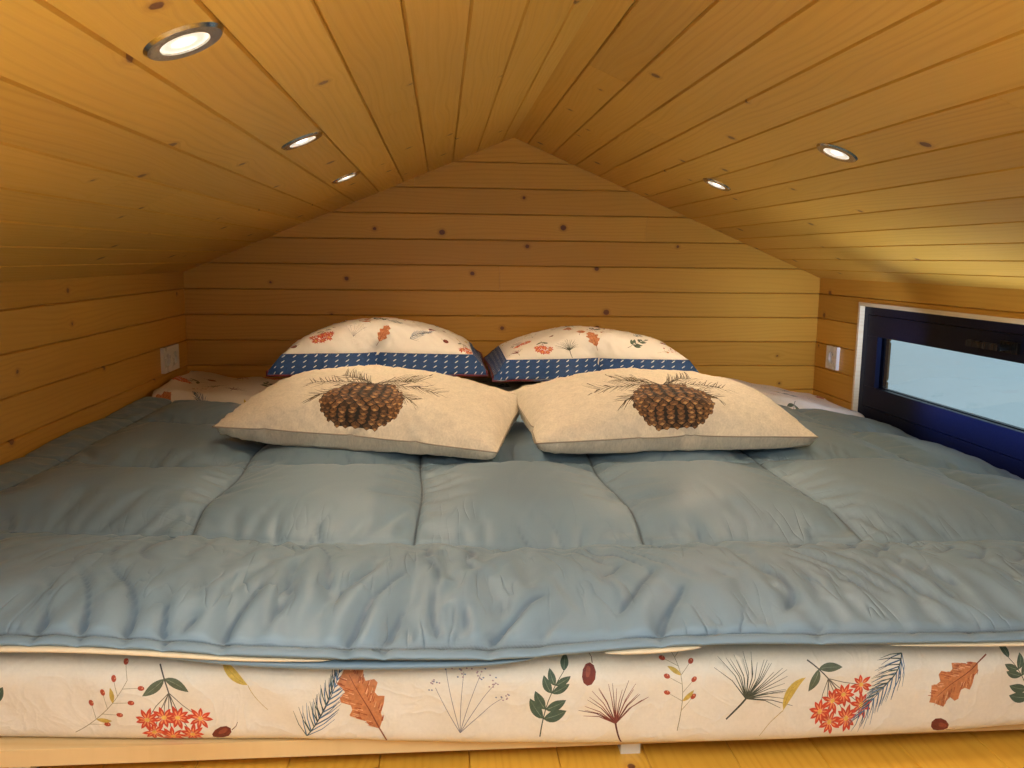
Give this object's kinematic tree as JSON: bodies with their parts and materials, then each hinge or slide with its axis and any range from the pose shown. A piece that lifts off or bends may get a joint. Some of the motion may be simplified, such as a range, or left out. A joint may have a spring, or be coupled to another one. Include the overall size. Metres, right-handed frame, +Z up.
{
  "type": "sleeping loft of a tiny house",
  "caption": "Gabled sleeping loft, the end bay of a tiny house, lined with spruce boards and open at one end, with a hopper window, recessed lamps and a made-up double bed.",
  "frame": {"origin": "middle of the underside of the floor and walls, level with the bottom of the joists", "axes": "+Z up, +Y towards the gable, -Y towards the open end, +X towards the window wall when looking at the gable"},
  "size_m": [2.55, 2.65, 1.3753],
  "materials": {
    "framing": "planed pine",
    "floor": "varnished pine boards",
    "lining": "varnished spruce boards",
    "cladding": "oiled spruce boards",
    "roof_boards": "oiled spruce",
    "roof_metal": "matt anthracite coating",
    "window_metal": "satin anthracite coating",
    "window_glass": "clear double glazing",
    "handle": "satin black",
    "trim": "pale planed wood",
    "lamp_metal": "polished",
    "lamp_glass": "frosted, lit",
    "socket": "white",
    "bearer": "white painted",
    "slat": "planed pale pine",
    "print_fabric": "printed cotton",
    "quilt_fabric": "grey-blue quilted satin",
    "pillow_fabric": "printed cotton with a blue border",
    "cushion_fabric": "cream canvas with a brown motif"
  },
  "bodies": {
    "root": {"floor_joists": "framing", "floor_boards": "floor", "left_wall_studs": "framing", "left_wall_plates": "framing", "left_wall_lining": "lining", "left_wall_cladding": "cladding", "right_wall_studs": "framing", "right_wall_plates": "framing", "right_wall_lining": "lining", "right_wall_cladding": "cladding", "gable_studs": "framing", "gable_plates": "framing", "gable_lining": "lining", "gable_cladding": "cladding", "left_ceiling_lining": "lining", "right_ceiling_lining": "lining", "left_rafters": "framing", "right_rafters": "framing", "ridge_board": "framing", "left_roof_deck": "roof_boards", "right_roof_deck": "roof_boards", "left_roof_sheet": "roof_metal", "right_roof_sheet": "roof_metal", "ridge_cap": "roof_metal", "left_fascia": "roof_boards", "right_fascia": "roof_boards", "left_barge_board": "roof_boards", "right_barge_board": "roof_boards", "window_frame": "window_metal", "window_sash": "window_metal", "window_glass": "window_glass", "window_handle": "handle", "window_trim": "trim", "window_sill": "window_metal", "lamp_rings": "lamp_metal", "lamp_lenses": "lamp_glass", "left_socket": "socket", "right_socket": "socket", "bed_bearers": "bearer", "bed_slats": "slat", "mattress": "print_fabric", "duvet": "print_fabric", "quilt": "quilt_fabric", "left_pillow": "pillow_fabric", "right_pillow": "pillow_fabric", "left_cushion": "cushion_fabric", "right_cushion": "cushion_fabric"}
  },
  "joints": []
}
